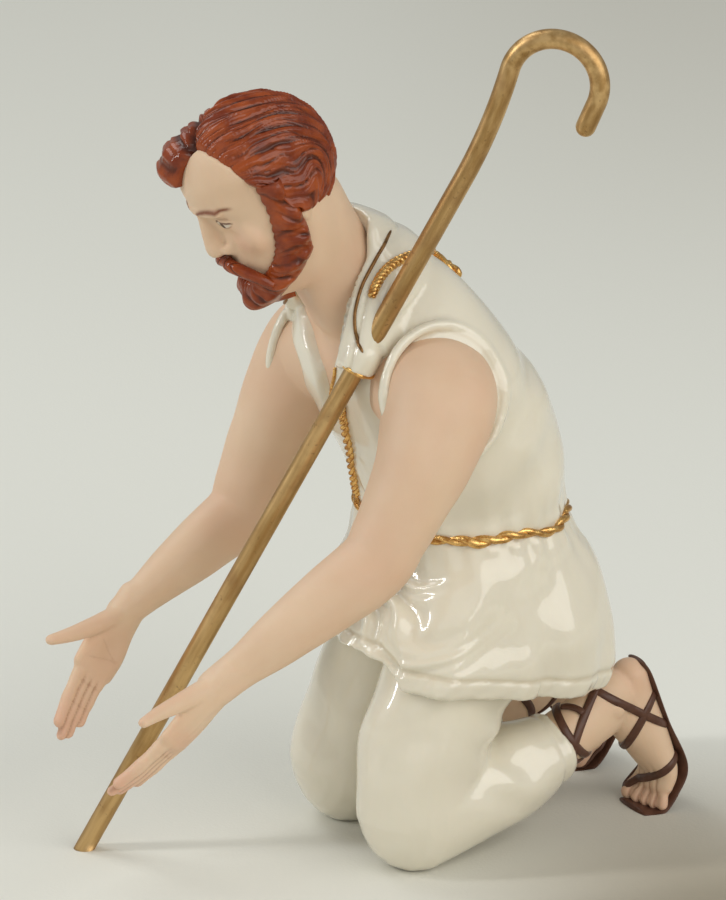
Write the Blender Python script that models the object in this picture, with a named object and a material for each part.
"""A kneeling nativity shepherd with a crook: one slip-cast porcelain figure and one bent brass rod.

The figure kneels on both knees with its toes tucked under, leans forward and holds both arms out.
It faces -Y, its left side is +X, and the floor it rests on is z = 0. The crook's foot stands on the
floor, and its rod runs up through an eyelet in the tunic's collar over the left shoulder.
Body forms are closed lofts and tubes. They are fused by a voxel remesh, thinned to a few thousand
faces, and then cut flat where they touch the floor and bored where the rod passes.
"""

import math

import bmesh
import bpy
import numpy as np
from mathutils import Matrix, Vector

MM = 0.001

# Driving sizes of the crook and of what it passes through.
ROD_DIAMETER = 3.2 * MM
ROD_CLEARANCE = 0.35 * MM
BORE = ROD_DIAMETER + 2 * ROD_CLEARANCE
EYELET_WALL = 1.1 * MM
EYELET_LENGTH = 3.6 * MM
ROD_SIDES = 16

# How finely the cast figure is fused and thinned.
FUSE_VOXEL = 0.55 * MM
SMOOTH_PASSES = 4
FIGURE_FACE_SHARE = 0.032

# Helper solids: how far the bore reaches along the rod each way, and the block under the floor.
BORE_REACH = (-60.0, 0.0, 28.0)
FLOOR_BLOCK = ((-60.0, -80.0, -20.0), (60.0, 80.0, 0.0))

# Colours, as Principled BSDF values.
IVORY_GLAZE = (0.80, 0.76, 0.66)
AGED_BRASS = (0.45, 0.29, 0.12)


def mm(*values):
    """A point or a table row given in millimetres, in metres."""
    return np.array(values, float) * MM


def smooth_rows(rows, per_span):
    """Catmull-Rom interpolation of a table's rows: a smooth curve that passes through every row."""
    rows = np.asarray(rows, float)
    padded = np.vstack([2 * rows[0] - rows[1], rows, 2 * rows[-1] - rows[-2]])
    made = []
    for i in range(1, len(padded) - 2):
        before, start, end, after = padded[i - 1 : i + 3]
        t = np.linspace(0, 1, per_span, endpoint=False)[:, None]
        made.append(
            start
            + 0.5 * t * (end - before)
            + t**2 * (before - 2.5 * start + 2 * end - 0.5 * after)
            + t**3 * (-0.5 * before + 1.5 * start - 1.5 * end + 0.5 * after)
        )
    made.append(rows[-1:])
    return np.vstack(made)


def unit(v):
    """The vectors divided by their lengths."""
    v = np.asarray(v, float)
    return v / np.linalg.norm(v, axis=-1, keepdims=True)


def closed_loft(rings):
    """Points and faces of a closed skin over a stack of rings, with a fan over each end ring."""
    count, sides = rings.shape[:2]
    points = np.vstack([rings.reshape(-1, 3), rings[0].mean(0), rings[-1].mean(0)])
    faces = []
    for i in range(count - 1):
        for j in range(sides):
            k = (j + 1) % sides
            faces.append((i * sides + j, i * sides + k, (i + 1) * sides + k, (i + 1) * sides + j))
    low, high = count * sides, count * sides + 1
    last = (count - 1) * sides
    for j in range(sides):
        k = (j + 1) % sides
        faces.append((low, k, j))
        faces.append((high, last + j, last + k))
    return points, faces


def tube(stations, side, sides=14, per_span=4, round_start=True, round_end=True):
    """A limb: rows of x, y, z, half-width along side, half-thickness across it, with round ends."""
    rows = smooth_rows(stations, per_span)
    centre, wide, thick = rows[:, :3], rows[:, 3], rows[:, 4]
    along = unit(np.gradient(centre, axis=0))
    sideways = []
    for direction in along:
        side = unit(side - (direction @ side) * direction)
        sideways.append(side)
    side = np.array(sideways)
    across = np.cross(along, side)
    angle = np.linspace(0, 2 * math.pi, sides, endpoint=False)
    ring = (
        centre[:, None]
        + np.cos(angle)[None, :, None] * (wide[:, None] * side)[:, None]
        + np.sin(angle)[None, :, None] * (thick[:, None] * across)[:, None]
    )
    rings = list(ring)
    bulge = (0.35, 0.65, 0.88)
    if round_end:
        reach = min(wide[-1], thick[-1])
        for share in bulge:
            shrink = math.sqrt(1 - share**2)
            rings.append(centre[-1] + (ring[-1] - centre[-1]) * shrink + along[-1] * reach * share)
    if round_start:
        reach = min(wide[0], thick[0])
        for share in bulge:
            shrink = math.sqrt(1 - share**2)
            rings.insert(0, centre[0] + (ring[0] - centre[0]) * shrink - along[0] * reach * share)
    return closed_loft(np.array(rings))


def ball(centre, radii, axes=None):
    """An ellipsoid, turned by the rows of axes where they are given."""
    lat = np.linspace(-math.pi / 2, math.pi / 2, 9)[1:-1]
    lon = np.linspace(0, 2 * math.pi, 14, endpoint=False)
    shell = np.stack(
        [
            np.cos(lat)[:, None] * np.cos(lon),
            np.cos(lat)[:, None] * np.sin(lon),
            np.sin(lat)[:, None] * np.ones_like(lon),
        ],
        -1,
    )
    axes = np.eye(3) if axes is None else np.asarray(axes, float)
    points, faces = closed_loft((shell * radii) @ axes + centre)
    points[-2:] = (np.array([[0, 0, -1], [0, 0, 1]]) * radii) @ axes + centre
    return points, faces


def turned_frame(yaw, pitch, roll=0.0):
    """Rows are a head's left, back and up directions after it nods, leans and turns."""
    m = (
        Matrix.Rotation(math.radians(yaw), 3, "Z")
        @ Matrix.Rotation(math.radians(pitch), 3, "X")
        @ Matrix.Rotation(math.radians(roll), 3, "Y")
    )
    return np.array(m).T


def merge(pieces):
    """One list of points and faces out of several closed skins."""
    points, faces, first = [], [], 0
    for piece_points, piece_faces in pieces:
        points.append(piece_points)
        faces.extend(tuple(first + i for i in face) for face in piece_faces)
        first += len(piece_points)
    return np.vstack(points), faces


# Pose of the figure: its joints, in metres. Left is the side nearer the crook's bend.
SHOULDER = {"left": mm(18.5, 3.8, 83.5), "right": mm(-16.5, 2.0, 82.5)}
ELBOW = {"left": mm(25.0, -12.2, 60.0), "right": mm(-22.0, -10.6, 53.4)}
WRIST = {"left": mm(20.0, -37.3, 42.9), "right": mm(-20.0, -32.8, 41.3)}
FINGERTIP = {"left": mm(17.5, -54.0, 25.2), "right": mm(-17.0, -48.2, 23.4)}
THUMB_SIDE = {"left": (0.55, -0.60, 0.60), "right": (0.10, -0.86, 0.50)}
HIP = {"left": mm(10.2, 18.0, 42.0), "right": mm(-10.2, 20.0, 42.0)}
KNEE = {"left": mm(11.8, 3.4, 10.6), "right": mm(-11.8, 4.6, 10.6)}
CUFF = {"left": mm(11.0, 30.6, 15.4), "right": mm(-11.0, 30.2, 13.4)}
ANKLE = {"left": mm(10.4, 39.8, 19.2), "right": mm(-11.0, 39.5, 16.5)}
HEEL = {"left": mm(10.0, 45.8, 24.0), "right": mm(-11.0, 46.3, 21.6)}
BALL = {"left": mm(10.6, 51.8, 7.0), "right": mm(-12.0, 52.0, 6.5)}
TOES = {"left": mm(10.4, 48.2, 1.6), "right": mm(-12.0, 48.0, 1.6)}
NECK_BASE = mm(0.0, -1.5, 96.0)
HEAD_CENTRE = mm(-0.5, -18.9, 117.4)
HEAD_UNIT = 1.1 * MM
HEAD_YAW = -15
HEAD_PITCH = 32
SIDES = (("left", 1.0), ("right", -1.0))

# The bare head's outline, in head units from its centre: height, front depth, back depth, half-width.
HEAD_ROWS = (
    (-16.4, 7.0, 0.5, 3.2),
    (-14.8, 8.8, 1.4, 4.9),
    (-11.2, 9.3, 2.8, 6.4),
    (-8.0, 9.6, 4.4, 7.3),
    (-4.8, 9.3, 7.4, 8.0),
    (-1.4, 8.7, 9.4, 8.5),
    (0.8, 8.7, 10.0, 8.7),
    (3.6, 9.6, 10.4, 8.8),
    (7.6, 9.0, 10.2, 8.6),
    (11.2, 6.2, 8.0, 6.8),
    (13.2, 2.0, 3.5, 3.2),
)

# The tunic's rings: y, z of the centre, tilt of the front upwards, turn, half-width, front and back depth.
TUNIC_RINGS = (
    (19.2, 29.8, 10, 0, 23.4, 25.0, 20.2),
    (19.4, 33.0, 10, 0, 23.8, 25.0, 22.0),
    (19.6, 39.5, 8, 0, 23.2, 22.4, 23.0),
    (19.2, 48.0, 4, 1, 21.2, 17.4, 20.4),
    (18.5, 56.6, 0, 2, 18.8, 15.4, 16.2),
    (17.6, 64.0, -7, 3, 19.0, 16.0, 16.4),
    (14.8, 73.0, -20, 4, 20.0, 16.2, 16.0),
    (10.6, 81.0, -26, 6, 20.6, 16.0, 14.2),
    (6.0, 89.5, -27, 7, 19.4, 15.0, 12.6),
    (2.8, 95.6, -30, 7, 15.0, 11.4, 10.8),
    (-0.6, 100.4, -37, 4, 8.8, 7.8, 7.8),
)
BELT_RING = 4
PANEL_RISE = 3.4
ROD_FOOT = mm(-20.6, -41.3, 0.0)
ROD_THROUGH = mm(11.0, -6.4, 89.5)
ROD_STRAIGHT = 136.0 * MM
ROD_EASE = 20.2 * MM
ROD_EASE_TURN = math.radians(-12)
HOOK_RADIUS = 7.3 * MM
HOOK_TURN = math.radians(187)
HOOK_END = 4.2 * MM


def tunic():
    """The sleeveless tunic from hem to neck, with skirt folds that die out at the belt."""
    rows = smooth_rows(TUNIC_RINGS, 5)
    sides = 72
    angle = np.linspace(0, 2 * math.pi, sides, endpoint=False)
    rings = []
    for k, (y, z, tilt, turn, wide, front, back) in enumerate(rows):
        tilt, turn = math.radians(tilt), math.radians(turn)
        side = np.array([math.cos(turn), math.sin(turn), 0])
        level = math.cos(tilt)
        ahead = np.array([math.sin(turn) * level, -math.cos(turn) * level, math.sin(tilt)])
        fold = max(0.0, 1 - k / 19.0)
        wave = np.sin(angle * 11 + 1.3 * np.sin(angle * 3)) * 0.55 + np.sin(angle * 23 + 2 * k * 0.07) * 0.2
        swell = 1 + 0.045 * fold * wave
        c, s = np.cos(angle), np.sin(angle)
        power = 2.3 + 0.9 * fold
        squared = (np.abs(c) ** power + np.abs(s) ** power) ** (-1 / power)
        reach = np.where(s > 0, front, back) * s * squared * swell
        panel = np.clip((s - 0.78) / 0.10, 0, 1) * max(0.0, 1 - k / 6.0) * PANEL_RISE
        ring = mm(0, y, z) + (wide * c * squared * swell)[:, None] * side * MM + reach[:, None] * ahead * MM
        rings.append(ring + panel[:, None] * mm(0, 0.1, 1.0))
    return closed_loft(np.array(rings)[:, ::-1])


def ring_band(centre, out, up, half_up, half_out, thick, sides=40):
    """A raised band around an oval: a closed ring with a round section of radius thick."""
    out, up = unit(out), unit(up)
    angle = np.linspace(0, 2 * math.pi, sides, endpoint=False)
    path = centre + np.cos(angle)[:, None] * out * half_out + np.sin(angle)[:, None] * up * half_up
    return closed_ring(path, thick)


def closed_ring(path, thick, sides=8):
    """A round bar bent along a closed path."""
    along = unit(np.roll(path, -1, 0) - np.roll(path, 1, 0))
    middle = path.mean(0)
    out = unit((path - middle) - ((path - middle) * along).sum(1)[:, None] * along)
    across = np.cross(along, out)
    angle = np.linspace(0, 2 * math.pi, sides, endpoint=False)
    away = np.cos(angle)[None, :, None] * out[:, None] + np.sin(angle)[None, :, None] * across[:, None]
    points = path[:, None] + away * thick
    count = len(path)
    faces = []
    for i in range(count):
        for j in range(sides):
            k, n = (j + 1) % sides, (i + 1) % count
            faces.append((i * sides + j, i * sides + k, n * sides + k, n * sides + j))
    return points.reshape(-1, 3), faces


def armhole(name):
    """The soft raised rim of an armhole."""
    outward = 1.0 if name == "left" else -1.0
    centre = mm(19.1 * outward, 0, 0) + SHOULDER[name] * (0, 1, 1) + mm(0, 0.6, -0.2)
    out = (0.10 * outward, 1.0, 0.0)
    up = (-0.22 * outward, 0.0, 1.0)
    return ring_band(centre, out, up, 11.6 * MM, 10.4 * MM, 1.1 * MM)


def arm(name):
    """A bare arm: out of the armhole, down to the elbow and forward to the wrist."""
    shoulder, elbow, wrist = SHOULDER[name], ELBOW[name], WRIST[name]
    outward = mm(1.0, 0, 0) * (1 if name == "left" else -1)
    stations = [(*(shoulder - outward * 7 + mm(0, 0.6, 0.4)), 9.6 * MM, 9.0 * MM)]
    upper_arm = ((0.03, 9.5, 0.0), (0.3, 8.2, 2.0), (0.58, 6.9, 2.0), (0.82, 6.2, 1.0), (1.0, 5.9, 0.0))
    for share, wide, bow in upper_arm:
        centre = shoulder + (elbow - shoulder) * share + outward * bow
        stations.append((*centre, wide * MM, (wide - 0.3) * MM))
    for share, wide in ((0.28, 5.5), (0.6, 4.5), (0.85, 3.4), (1.05, 3.1)):
        centre = elbow + (wrist - elbow) * share
        stations.append((*centre, wide * MM, wide * 0.9 * MM))
    return tube(stations, np.array([0, 1.0, 0]), sides=20, per_span=4)


def hand(name):
    """An open hand: a flat palm, four fingers side by side and the thumb held away."""
    wrist, tip = WRIST[name], FINGERTIP[name]
    along = unit(tip - wrist)
    side = np.array(THUMB_SIDE[name])
    side = unit(side - (side @ along) * along)
    inward = -1.0 if name == "left" else 1.0
    palm_side = np.cross(along, side)
    palm_side = palm_side * np.sign(palm_side[0] * inward)
    reach = np.linalg.norm(tip - wrist)
    palm_rows = []
    for share, wide, thick in ((-0.08, 3.0, 2.7), (0.12, 3.5, 2.5), (0.32, 4.4, 2.0), (0.5, 4.5, 1.6)):
        palm_rows.append((*(wrist + along * reach * share), wide * MM, thick * MM))
    pieces = [tube(palm_rows, side, sides=16)]
    fingers = ((3.3, 0.93, 0.5), (1.15, 1.0, 0.1), (-1.05, 0.96, -0.1), (-3.15, 0.84, -0.5))
    for offset, length, spread in fingers:
        rows = []
        for share in (0.42, 0.6, 0.8, 1.0):
            run = 0.42 + (length - 0.42) * (share - 0.42) / 0.58
            curl = (run - 0.42) ** 2 * 7.0
            centre = wrist + along * reach * run + side * (offset + spread * (run - 0.42) * 3) * MM
            wide = 1.14 * (1.28 - 0.42 * run)
            rows.append((*(centre + palm_side * curl * MM), wide * MM, (1.42 - 0.5 * run) * MM))
        pieces.append(tube(rows, side, sides=10, per_span=3))
    rows = []
    thumb = ((0.1, 1.5, 0.6, 1.7), (0.28, 4.2, 1.0, 1.7), (0.42, 6.4, 1.2, 1.3), (0.56, 8.3, 1.2, 1.05))
    for run, out, curl, wide in thumb:
        centre = wrist + along * reach * run + side * out * MM + palm_side * curl * MM
        rows.append((*centre, wide * MM, wide * 0.9 * MM))
    pieces.append(tube(rows, palm_side, sides=10, per_span=3))
    return merge(pieces)


def leg(name):
    """Breeches over thigh and shin, bent sharply at the knee."""
    hip, knee, cuff = HIP[name], KNEE[name], CUFF[name]
    lean = {"left": 3.6, "right": 1.6}[name]
    thigh = []
    upper = ((0.0, 9.6, 11.8, 0.0), (0.34, 9.6, 11.4, 0.8), (0.68, 9.9, 11.0, 0.8), (1.0, 9.8, 10.2, 0.0))
    for share, wide, deep, ahead in upper:
        thigh.append((*(hip + (knee - hip) * share - mm(0, lean * ahead, 0)), wide * MM, deep * MM))
    shin = []
    lower = (
        (0.0, 9.9, 11.4, 0.0),
        (0.33, 9.3, 9.3, 1.6),
        (0.64, 8.4, 8.1, 1.5),
        (0.88, 7.1, 6.7, 0.6),
        (1.0, 6.3, 5.7, 0.0),
    )
    for share, wide, deep, sag in lower:
        shin.append((*(knee + (cuff - knee) * share - mm(0, 0, sag)), wide * MM, deep * MM))
    across = np.array([1.0, 0, 0])
    return merge([tube(thigh, across, sides=24), tube(shin, across, sides=24, round_end=False)])


def foot(name):
    """Ankle, foot on its toes, five toes tucked forward, and the sandal's thin sole behind."""
    cuff, ankle, heel, ball, toes = CUFF[name], ANKLE[name], HEEL[name], BALL[name], TOES[name]
    across = np.array([1.0, 0, 0])
    calf = [
        (*(cuff - (ankle - cuff) * 0.5), 4.9 * MM, 4.7 * MM),
        (*(cuff + (ankle - cuff) * 0.2), 4.6 * MM, 4.8 * MM),
        (*ankle, 3.9 * MM, 5.0 * MM),
        (*(ankle + (heel - ankle) * 0.5), 3.7 * MM, 4.4 * MM),
    ]
    blade = [
        (*heel, 3.4 * MM, 3.0 * MM),
        (*(heel + (ball - heel) * 0.35 - mm(0, 1.8, 0)), 3.8 * MM, 4.8 * MM),
        (*(heel + (ball - heel) * 0.7 - mm(0, 1.0, 0)), 4.3 * MM, 3.9 * MM),
        (*(ball + mm(0, -0.6, 0)), 4.7 * MM, 2.7 * MM),
        (*(ball + (toes - ball) * 0.45 + mm(0, 0.6, -0.4)), 4.6 * MM, 2.2 * MM),
    ]
    pieces = [tube(calf, across, sides=16), tube(blade, across, sides=18)]
    outward = 1.0 if name == "left" else -1.0
    for i, (offset, reach, thick) in enumerate(
        ((-3.3, 0.2, 1.5), (-1.1, 0.0, 1.15), (0.7, -0.5, 1.05), (2.3, -1.1, 0.95), (3.7, -1.9, 0.9))
    ):
        start = ball + (toes - ball) * 0.35 + mm(outward * offset * 0.9, 0, -0.6)
        end = toes + mm(outward * offset, -reach, thick - 1.5)
        rows = [(*(start + (end - start) * t), thick * MM, thick * MM) for t in (0.0, 0.5, 1.0)]
        pieces.append(tube(rows, across, sides=10, per_span=3))
    behind = mm(0, 3.2, 0)
    sole = [
        (*(heel + behind + mm(0, -1.5, 2.6)), 3.4 * MM, 0.7 * MM),
        (*(heel + behind), 3.8 * MM, 0.7 * MM),
        (*(heel + (ball - heel) * 0.5 + behind), 3.6 * MM, 0.7 * MM),
        (*(ball + behind + mm(0, 0.3, 0.6)), 4.9 * MM, 0.7 * MM),
        (*(ball + (toes - ball) * 0.4 + mm(0, 2.6, -1.9)), 5.0 * MM, 0.7 * MM),
        (*(toes + mm(0, 1.5, -1.6)), 4.9 * MM, 0.7 * MM),
        (*(toes + mm(0, -1.6, -1.5)), 4.2 * MM, 0.7 * MM),
    ]
    pieces.append(tube(sole, across, sides=12))
    return merge(pieces)


def in_head(x, f, h):
    """Points given in head units towards the head's left, ahead and up, as points of the model."""
    left, back, up = turned_frame(HEAD_YAW, HEAD_PITCH)
    x, f, h = np.broadcast_arrays(*(np.asarray(v, float) for v in (x, f, h)))
    return HEAD_CENTRE + (x[..., None] * left - f[..., None] * back + h[..., None] * up) * HEAD_UNIT


def around_head(theta, h, lift=0.0):
    """Points lift units outside the bare head at height h; theta is 0 ahead and grows to the left."""
    rows = smooth_rows(HEAD_ROWS, 8)
    front, rear, wide = (np.interp(h, rows[:, 0], rows[:, k]) for k in (1, 2, 3))
    depth = np.where(np.cos(theta) > 0, front, rear)
    return in_head((wide + lift) * np.sin(theta), (depth + lift) * np.cos(theta), h)


def shell(outer, inner):
    """A closed solid between two grids of points of the same shape, walled round its four edges."""
    rows, columns = outer.shape[:2]
    flat = rows * columns
    index = np.arange(flat).reshape(rows, columns)
    a, b, c, d = index[:-1, :-1], index[1:, :-1], index[1:, 1:], index[:-1, 1:]
    faces = [tuple(face) for face in np.stack([a, d, c, b], -1).reshape(-1, 4)]
    faces += [tuple(face[::-1] + flat) for face in np.stack([a, d, c, b], -1).reshape(-1, 4)]
    rim = np.concatenate([index[0, :-1], index[:-1, -1], index[-1, :0:-1], index[:0:-1, 0]])
    for i, first in enumerate(rim):
        second = rim[(i + 1) % len(rim)]
        faces.append((second, first, first + flat, second + flat))
    return np.vstack([outer.reshape(-1, 3), inner.reshape(-1, 3)]), faces


def head():
    """A head with calm, even features, a short full beard and swept-back hair."""
    left, back, up = turned_frame(HEAD_YAW, HEAD_PITCH)
    angle = np.linspace(0, 2 * math.pi, 28, endpoint=False)
    heights = smooth_rows(HEAD_ROWS, 3)[:, 0]
    pieces = [closed_loft(around_head(-angle[None, :], heights[:, None]))]
    nose = [
        (*in_head(0, 8.3, 3.4), 1.1 * HEAD_UNIT, 1.2 * HEAD_UNIT),
        (*in_head(0, 9.2, -0.2), 1.3 * HEAD_UNIT, 1.7 * HEAD_UNIT),
        (*in_head(0, 10.0, -3.4), 1.9 * HEAD_UNIT, 1.9 * HEAD_UNIT),
    ]
    pieces.append(tube(nose, left, sides=12))
    brow = []
    for x in (-5.0, -2.5, 0.0, 2.5, 5.0):
        brow.append((*in_head(x, 9.6 - 0.055 * x * x, 3.4), 0.7 * HEAD_UNIT, 0.6 * HEAD_UNIT))
    pieces.append(tube(brow, up, sides=8))
    for x in (-1.0, 1.0):
        lip = [
            (*in_head(0.2 * x, 10.6, -6.4), 0.9 * HEAD_UNIT, 1.0 * HEAD_UNIT),
            (*in_head(2.4 * x, 10.3, -7.1), 0.95 * HEAD_UNIT, 1.0 * HEAD_UNIT),
            (*in_head(4.6 * x, 9.0, -9.2), 0.9 * HEAD_UNIT, 1.0 * HEAD_UNIT),
        ]
        pieces.append(tube(lip, up, sides=8))
        ear = np.array([1.0, 1.8, 2.6]) * HEAD_UNIT
        pieces.append(ball(in_head(8.7 * x, -1.4, -2.8), ear, (left, -back, up)))
    return merge(pieces + [beard(), hair()])


def beard():
    """A short full beard: a shell from one sideburn round the chin to the other, in soft vertical strokes."""
    theta = np.radians(np.linspace(-102, 102, 45))[None, :]
    v = np.linspace(0, 1, 12)[:, None]
    side = np.abs(theta) / math.radians(102)
    top = np.interp(side, (0.0, 0.25, 0.42, 0.62, 0.85, 1.0), (-10.4, -9.8, -8.6, -6.4, -2.0, 2.5))
    bottom = np.interp(side, (0.0, 0.25, 0.6, 0.85, 1.0), (-20.4, -19.0, -14.0, -9.0, -5.0))
    h = top + (bottom - top) * v
    under = np.clip((v - 0.55) / 0.45, 0, 1)
    swell = np.sin(math.pi * np.clip(v, 0.03, 0.97)) ** 0.5 * (1.5 + 0.9 * (1 - side) ** 2)
    stroke = 0.3 * np.sin(theta * 23 + 1.2 * np.sin(v * 5)) * np.sin(math.pi * v)
    lift = swell + stroke - 2.6 * under**2
    outer = around_head(theta + 0 * v, h, lift)
    inner = around_head(theta + 0 * v, np.clip(h, -15.2, None) + 0.6, -1.6 + 0 * h)
    return shell(outer[:, ::-1], inner[:, ::-1])


def hair():
    """Hair swept back from a parting on the left: phi runs from ear to ear, beta from brow to nape."""
    phi = np.radians(np.linspace(-84, 84, 57))[None, :]
    t = np.linspace(0, 1, 30)[:, None]
    side = np.abs(phi) / math.radians(84)
    start = np.interp(side, (0.0, 0.35, 0.6, 0.8, 1.0), (34.0, 32.0, 22.0, 4.0, -25.0))
    finish = np.interp(side, (0.0, 0.5, 0.8, 1.0), (236.0, 233.0, 216.0, 200.0))
    beta = np.radians(start + (finish - start) * t)
    wave = np.sin(phi * 15 + 1.5 * np.sin(beta * 2.2) + 0.8 * beta)
    locks = 0.55 * (1 - np.abs(wave)) * np.sin(math.pi * np.clip(t, 0.04, 0.98)) ** 0.4
    quiff = 2.3 * np.exp(-(((beta - math.radians(58)) / 0.42) ** 2) - ((phi + 0.12) / 0.55) ** 2)
    parting = -1.0 * np.exp(-(((phi - 0.42) / 0.09) ** 2)) * np.clip((1.9 - beta) / 0.8, 0, 1)
    tuck = -1.1 * np.clip((t - 0.86) / 0.14, 0, 1) ** 2 - 1.2 * np.clip((0.05 - t) / 0.05, 0, 1) ** 2
    lift = locks + quiff + parting + tuck
    grid = []
    for grow in (lift, -2.4 + 0 * lift):
        spread = np.cos(phi)
        x = (10.0 + grow) * np.sin(phi) + 0 * beta
        f = (np.where(np.cos(beta) > 0, 11.0, 12.4) + grow) * spread * np.cos(beta) - 0.4
        h = (11.4 + grow) * spread * np.sin(beta) + 1.8
        grid.append(in_head(x, f, h))
    return shell(grid[0][:, ::-1], grid[1][:, ::-1])


def collar():
    """The neckline: a standing band from the nape round both sides of the neck to the chest."""
    pieces = []
    for side in (1.0, -1.0):
        rows = [
            (*mm(0.0, 2.6, 106.6), 2.6 * MM, 0.9 * MM),
            (*mm(4.0 * side, 1.6, 106.0), 2.6 * MM, 0.9 * MM),
            (*mm(7.6 * side, -1.4, 102.6), 2.7 * MM, 1.0 * MM),
            (*mm(9.4 * side, -4.8, 97.0), 2.6 * MM, 1.1 * MM),
            (*mm(10.0 * side, -7.2, 91.5), 2.2 * MM, 1.1 * MM),
            (*mm(7.4 * side, -9.0, 84.6), 1.6 * MM, 1.1 * MM),
            (*mm(3.0 * side, -7.8, 78.2), 1.3 * MM, 1.1 * MM),
            (*mm(0.2 * side, -6.0, 75.0), 1.2 * MM, 1.0 * MM),
        ]
        pieces.append(tube(rows, np.array([0.3 * side, -0.3, 1.0]), sides=12))
    return merge(pieces)


def belt():
    """A rope of two strands laid round the waist over the tunic."""
    y, z, tilt, _, wide, front, back = TUNIC_RINGS[BELT_RING]
    angle = np.linspace(0, 2 * math.pi, 144, endpoint=False)
    tilt = math.radians(tilt)
    ahead = np.array([0, -math.cos(tilt), math.sin(tilt)])
    lift = np.cross(ahead, np.array([-1.0, 0, 0]))
    c, s = np.cos(angle), np.sin(angle)
    squared = (np.abs(c) ** 2.4 + np.abs(s) ** 2.4) ** (-1 / 2.4)
    path = mm(0, y, z) + ((wide + 0.3) * c * squared)[:, None] * mm(1, 0, 0)
    path = path + (np.where(s > 0, front + 0.3, back + 0.3) * s * squared * MM)[:, None] * ahead
    out = unit(path - mm(0, y, z))
    strands = []
    for phase in (0.0, math.pi):
        twist = angle * 24 + phase
        away = np.cos(twist)[:, None] * out + np.sin(twist)[:, None] * lift
        strands.append(closed_ring(path + away * 0.45 * MM, 0.62 * MM, 8))
    return merge(strands)


def rod_direction():
    """The straight part's direction, from the floor through the eyelet."""
    return unit(ROD_THROUGH - ROD_FOOT)


def eyelet():
    """The collar's corner that closes over the rod like an eyelet."""
    along = rod_direction()
    outer = BORE / 2 + EYELET_WALL
    half = EYELET_LENGTH / 2 - outer * 0.4
    rows = [(*(ROD_THROUGH + along * t), outer, outer) for t in (-half, 0.0, half)]
    return tube(rows, np.array([1.0, 0, 0]), sides=16)


def neck():
    """The neck, from inside the collar up into the head."""
    top = in_head(0, -3.6, -6.0)
    rows = [
        (*(NECK_BASE - (top - NECK_BASE) * 0.3), 7.8 * MM, 7.6 * MM),
        (*(NECK_BASE + (top - NECK_BASE) * 0.3), 6.8 * MM, 7.0 * MM),
        (*(NECK_BASE + (top - NECK_BASE) * 0.7), 6.3 * MM, 6.8 * MM),
        (*top, 6.3 * MM, 7.0 * MM),
    ]
    return tube(rows, np.array([1.0, 0, 0]), sides=20)


def principled(name, colour, roughness, metallic):
    """A plain Principled material."""
    material = bpy.data.materials.new(name)
    material.use_nodes = True
    shader = material.node_tree.nodes["Principled BSDF"]
    shader.inputs["Base Color"].default_value = (*colour, 1.0)
    shader.inputs["Roughness"].default_value = roughness
    shader.inputs["Metallic"].default_value = metallic
    return material


def add_object(name, points, faces, material=None):
    """A smooth-shaded mesh object of those points and faces."""
    mesh = bpy.data.meshes.new(name)
    mesh.from_pydata([tuple(p) for p in points], [], faces)
    mesh.update()
    mesh.shade_smooth()
    made = bpy.data.objects.new(name, mesh)
    bpy.context.scene.collection.objects.link(made)
    if material:
        mesh.materials.append(material)
    return made


def add_cutter(name, points, faces):
    """A helper solid that only cuts others and is left out of renders."""
    made = add_object(name, points, faces)
    made.hide_render = True
    made.display_type = "WIRE"
    return made


def crook_path():
    """The rod's centre line: straight, eased toward upright, turned over in a hook, then straight."""
    along = rod_direction()
    level = unit(np.array([along[0], along[1], 0.0]))
    lean = math.acos(along[2])
    runs = (
        (ROD_STRAIGHT, 0.0, 3),
        (ROD_EASE, ROD_EASE_TURN, 8),
        (HOOK_RADIUS * HOOK_TURN, HOOK_TURN, 26),
        (HOOK_END, 0.0, 2),
    )
    heading, point = lean, ROD_FOOT
    points = [ROD_FOOT - along * 4 * MM, ROD_FOOT]
    for length, turn, steps in runs:
        for _ in range(steps):
            middle = heading + turn / steps / 2
            point = point + (math.sin(middle) * level + np.array([0, 0, math.cos(middle)])) * length / steps
            heading += turn / steps
            points.append(point)
    return np.array(points)


def block(low, high):
    """A box between two corners."""
    x, y, z = zip(low, high)
    points = np.array([(a, b, c) for c in z for b in y for a in x])
    faces = [(0, 2, 3, 1), (4, 5, 7, 6), (0, 1, 5, 4), (2, 6, 7, 3), (0, 4, 6, 2), (1, 3, 7, 5)]
    return points, faces


def cut(made, cutter, name):
    """Takes the cutter's volume away from a solid."""
    away = made.modifiers.new(name, "BOOLEAN")
    away.operation = "DIFFERENCE"
    away.solver = "EXACT"
    away.object = cutter


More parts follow.
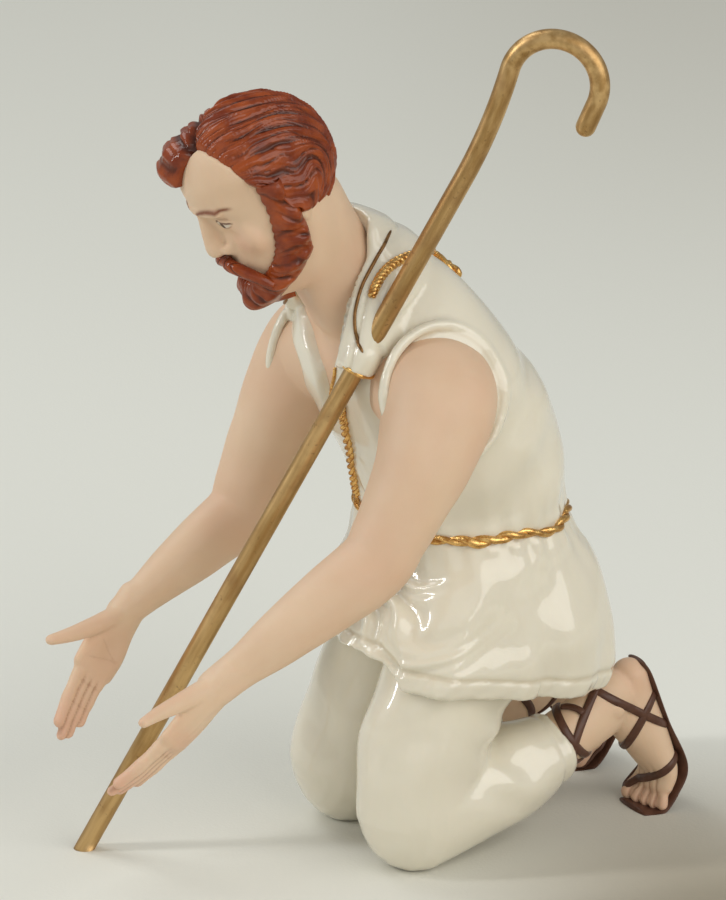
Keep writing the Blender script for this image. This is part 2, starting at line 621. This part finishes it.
def centre_on_origin(base, pieces):
    """Move everything so that the origin is in the middle of the underside of the whole."""
    bpy.context.view_layer.update()
    graph = bpy.context.evaluated_depsgraph_get()
    corners = []
    for piece in pieces:
        mesh = piece.evaluated_get(graph).to_mesh()
        spots = np.empty(len(mesh.vertices) * 3)
        mesh.vertices.foreach_get("co", spots)
        spots = spots.reshape(-1, 3)
        corners += [spots.min(0), spots.max(0)]
    middle = (np.min(corners, 0) + np.max(corners, 0)) / 2
    base.location = (-middle[0], -middle[1], 0)
    bpy.context.view_layer.update()


def build():
    """Fuses the cast figure, bends the rod, bores the eyelet and stands both on the floor."""
    for made in list(bpy.data.objects):
        bpy.data.objects.remove(made, do_unlink=True)
    porcelain = principled("porcelain", IVORY_GLAZE, 0.18, 0.0)
    brass = principled("aged_brass", AGED_BRASS, 0.35, 1.0)
    pieces = [tunic(), collar(), belt(), eyelet(), neck(), head()]
    for name, _ in SIDES:
        pieces += [arm(name), armhole(name), hand(name), leg(name), foot(name)]
    figure = add_object("shepherd_figure", *merge(pieces), porcelain)
    fuse = figure.modifiers.new("fuse", "REMESH")
    fuse.mode = "VOXEL"
    fuse.voxel_size = FUSE_VOXEL
    fuse.use_smooth_shade = True
    relax = figure.modifiers.new("relax", "SMOOTH")
    relax.iterations = SMOOTH_PASSES
    relax.factor = 0.4
    thin = figure.modifiers.new("thin", "DECIMATE")
    thin.ratio = FIGURE_FACE_SHARE
    rows = [(*p, ROD_DIAMETER / 2, ROD_DIAMETER / 2) for p in crook_path()]
    made = tube(rows, np.array([1.0, 0, 0]), ROD_SIDES, 1, round_start=False, round_end=False)
    crook = add_object("crook", *made, brass)
    floor = add_cutter("floor_cutter", *block(*(mm(*corner) for corner in FLOOR_BLOCK)))
    cut(crook, floor, "stand")
    bore_rows = [(*(ROD_THROUGH + rod_direction() * t), BORE / 2, BORE / 2) for t in mm(*BORE_REACH)]
    made = tube(bore_rows, np.array([1.0, 0, 0]), ROD_SIDES, 1, round_start=False, round_end=False)
    cut(figure, add_cutter("rod_cutter", *made), "bore")
    cut(figure, floor, "stand")
    base = bpy.data.objects.new("base", None)
    bpy.context.scene.collection.objects.link(base)
    for made in list(bpy.data.objects):
        if made is not base:
            made.parent = base
    centre_on_origin(base, (figure, crook))


build()
